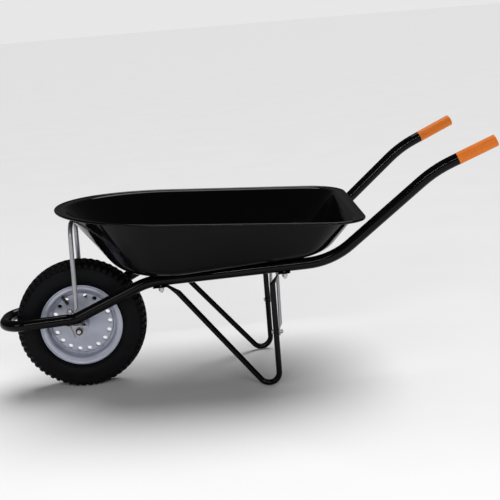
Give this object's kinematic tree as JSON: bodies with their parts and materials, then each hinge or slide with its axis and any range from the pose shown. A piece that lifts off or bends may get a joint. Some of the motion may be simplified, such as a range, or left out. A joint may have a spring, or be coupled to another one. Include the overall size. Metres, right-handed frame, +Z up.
{
  "type": "wheelbarrow",
  "caption": "Single-wheel wheelbarrow: pressed steel tray on one bent tube frame with a nose loop, V-shaped tube legs, pneumatic wheel and plastic grips.",
  "frame": {"origin": "on the ground under the middle of the barrow's length, in its middle plane", "axes": "+X rearwards to the handles, +Y to the user's right, +Z up"},
  "size_m": [1.3893, 0.6086, 0.6577],
  "materials": {
    "black_enamel": "gloss black stoved enamel",
    "orange_plastic": "moulded, satin",
    "galvanised_steel": "zinc plated, dull",
    "zinc_steel": "bright zinc plated",
    "silver_paint": "silver powder coat",
    "dark_steel": "satin",
    "bearing_steel": "polished",
    "tyre_rubber": "black rubber",
    "tube_rubber": "black rubber",
    "black_plastic": "moulded"
  },
  "bodies": {
    "barrow": {"tray": "black_enamel", "main_frame_tube": "black_enamel", "left_leg": "black_enamel", "right_leg": "black_enamel", "left_grip": "orange_plastic", "right_grip": "orange_plastic", "front_stay": "galvanised_steel", "rear_brace": "galvanised_steel", "left_axle_bracket": "galvanised_steel", "right_axle_bracket": "galvanised_steel", "axle": "zinc_steel", "axle_nuts": "dark_steel", "axle_washers": "zinc_steel", "axle_spacers": "zinc_steel", "bearing_inner_rings": "bearing_steel", "tray_bolts": "zinc_steel", "tray_bolt_washers": "zinc_steel", "tray_bolt_nuts": "zinc_steel", "stay_bolts": "zinc_steel", "stay_bolt_washers": "zinc_steel", "stay_bolt_nuts": "zinc_steel", "brace_bolts": "zinc_steel", "brace_bolt_nuts": "zinc_steel"},
    "wheel": {"tyre": "tyre_rubber", "inner_tube": "tube_rubber", "left_rim_half": "silver_paint", "right_rim_half": "silver_paint", "wheel_hub": "silver_paint", "bearing_outer_rings": "bearing_steel", "bearing_balls": "bearing_steel", "valve_stem": "tube_rubber", "valve_cap": "black_plastic"}
  },
  "joints": [
    {"name": "wheel_spin", "type": "hinge", "parent": "barrow", "child": "wheel", "pos_m": [-0.4615, 0, 0.185], "axis": [0, 1, 0], "continuous": true}
  ]
}
